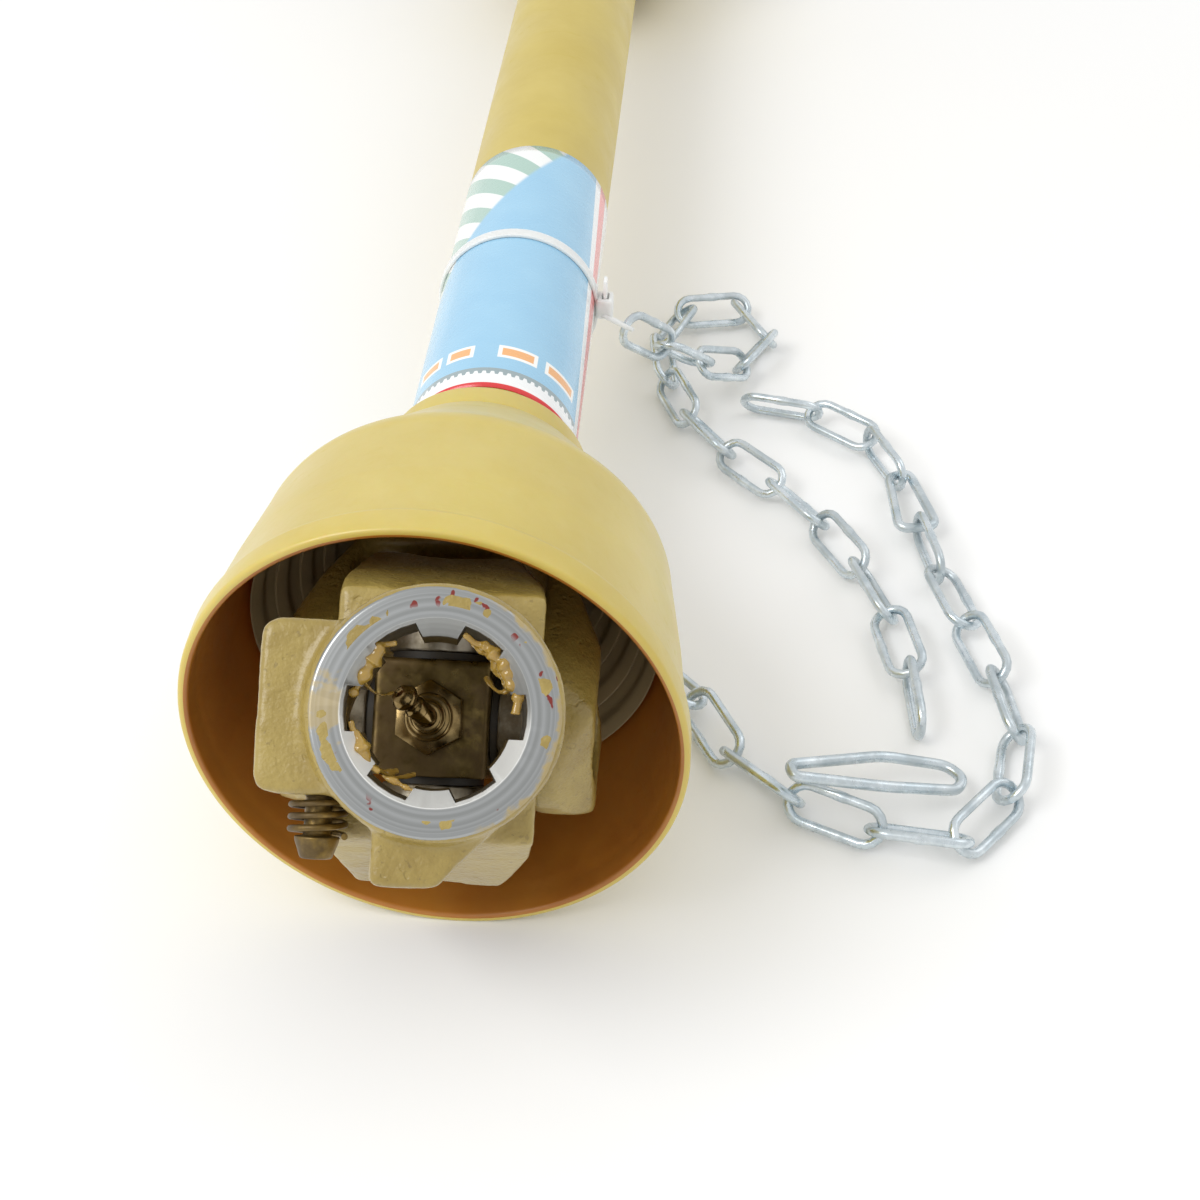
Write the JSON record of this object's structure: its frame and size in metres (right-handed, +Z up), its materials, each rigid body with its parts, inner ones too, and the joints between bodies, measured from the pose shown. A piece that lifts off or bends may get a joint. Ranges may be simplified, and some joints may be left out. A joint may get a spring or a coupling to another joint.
{
  "type": "driveline shaft",
  "caption": "Telescoping universal-joint driveline shaft in a yellow plastic guard with cone-shaped ends, splined quick-release yokes and steel safety chains.",
  "frame": {"origin": "on the floor under the middle of the object's length, below the shaft's axis", "axes": "+Y along the shaft from the near yoke to the far yoke, +Z up, +X towards the safety chains"},
  "size_m": [0.2064, 0.6926, 0.1223],
  "materials": {
    "guard_yellow": "smooth moulded polyethylene, slightly glossy",
    "base_grey": "dark ribbed moulding",
    "nylon": "natural nylon",
    "zinc_screw": "zinc plated",
    "label_film": null,
    "tie_nylon": "white nylon",
    "zinc_chain": "bright zinc plate",
    "tube_steel": "oiled drawn steel",
    "painted_cast": "sprayed enamel on rough casting, bare machined face",
    "pin_steel": "overspray on steel",
    "cap_steel": "ground steel",
    "clip_steel": "black oxide spring steel",
    "cross_steel": "greasy forged steel",
    "seal_rubber": "nitrile rubber",
    "nipple_brass": "greasy plated nipple"
  },
  "bodies": {
    "guard_outer": {"near_guard_bearing": "nylon", "near_base_cone": "base_grey", "near_bell": "guard_yellow", "near_cone_screws": "zinc_screw", "outer_guard_tube": "guard_yellow", "label_sheet": "label_film", "cable_tie": "tie_nylon", "safety_chain_1": "zinc_chain", "safety_chain_1_hook": "zinc_chain", "safety_chain_2": "zinc_chain", "safety_chain_2_hook": "zinc_chain"},
    "shaft_outer": {"near_inner_yoke": "painted_cast", "near_inner_caps": "cap_steel", "near_inner_circlips": "clip_steel", "near_roll_pin": "clip_steel", "outer_profile_tube": "tube_steel"},
    "near_cross_body": {"near_cross": "cross_steel", "near_cross_seals": "seal_rubber", "near_grease_nipple": "nipple_brass"},
    "near_yoke_body": {"near_yoke": "painted_cast", "near_pin_plug": "painted_cast", "near_pin_spring": "pin_steel", "near_yoke_caps": "cap_steel", "near_yoke_circlips": "clip_steel"},
    "near_pin_body": {"near_push_pin": "pin_steel"},
    "shaft_inner": {"inner_profile_tube": "tube_steel", "far_roll_pin": "clip_steel", "far_inner_yoke": "painted_cast", "far_inner_caps": "cap_steel", "far_inner_circlips": "clip_steel"},
    "far_bearing_body": {"far_guard_bearing": "nylon"},
    "guard_inner": {"far_base_cone": "base_grey", "far_bell": "guard_yellow", "far_cone_screws": "zinc_screw", "inner_guard_tube": "guard_yellow"},
    "far_cross_body": {"far_cross": "cross_steel", "far_cross_seals": "seal_rubber", "far_grease_nipple": "nipple_brass"},
    "far_yoke_body": {"far_yoke": "painted_cast", "far_pin_plug": "painted_cast", "far_pin_spring": "pin_steel", "far_yoke_caps": "cap_steel", "far_yoke_circlips": "clip_steel"},
    "far_pin_body": {"far_push_pin": "pin_steel"}
  },
  "joints": [
    {"name": "shaft_spin", "type": "hinge", "parent": "guard_outer", "child": "shaft_outer", "pos_m": [0, -0.2797, 0.0576], "axis": [0, 1, 0], "continuous": true},
    {"name": "near_pitch", "type": "hinge", "parent": "shaft_outer", "child": "near_cross_body", "pos_m": [0, -0.2797, 0.0576], "axis": [1, 0, 0], "range_deg": [0, 83.5]},
    {"name": "near_swing", "type": "hinge", "parent": "near_cross_body", "child": "near_yoke_body", "pos_m": [0, -0.2797, 0.0576], "axis": [0, 0.7373, 0.6756], "range_deg": [-17.6, 4.4]},
    {"name": "near_pin_push", "type": "slide", "parent": "near_yoke_body", "child": "near_pin_body", "axis": [0, 0.7373, 0.6756], "range_m": [0, 0.005], "stiffness_N_per_m": 1500, "springref_m": -0.004, "deforming": ["near_pin_spring"]},
    {"name": "shaft_slide", "type": "slide", "parent": "shaft_outer", "child": "shaft_inner", "axis": [0, 1, 0], "range_m": [-0.02, 0.15]},
    {"name": "guard_slide", "type": "slide", "parent": "guard_outer", "child": "far_bearing_body", "axis": [0, 1, 0], "range_m": [-0.02, 0.15]},
    {"name": "guard_spin", "type": "hinge", "parent": "far_bearing_body", "child": "guard_inner", "pos_m": [0, 0.2803, 0.0576], "axis": [0, 1, 0], "continuous": true},
    {"name": "far_pitch", "type": "hinge", "parent": "shaft_inner", "child": "far_cross_body", "pos_m": [0, 0.2803, 0.0576], "axis": [1, 0, 0], "range_deg": [-36, 47.5]},
    {"name": "far_swing", "type": "hinge", "parent": "far_cross_body", "child": "far_yoke_body", "pos_m": [0, 0.2803, 0.0576], "axis": [0, 0, 1], "range_deg": [-12, 12]},
    {"name": "far_pin_push", "type": "slide", "parent": "far_yoke_body", "child": "far_pin_body", "axis": [0, 0, 1], "range_m": [0, 0.005], "stiffness_N_per_m": 1500, "springref_m": -0.004, "deforming": ["far_pin_spring"]}
  ],
  "couplings": [
    {"joint": "guard_slide", "follows": "shaft_slide", "ratio": 1}
  ]
}
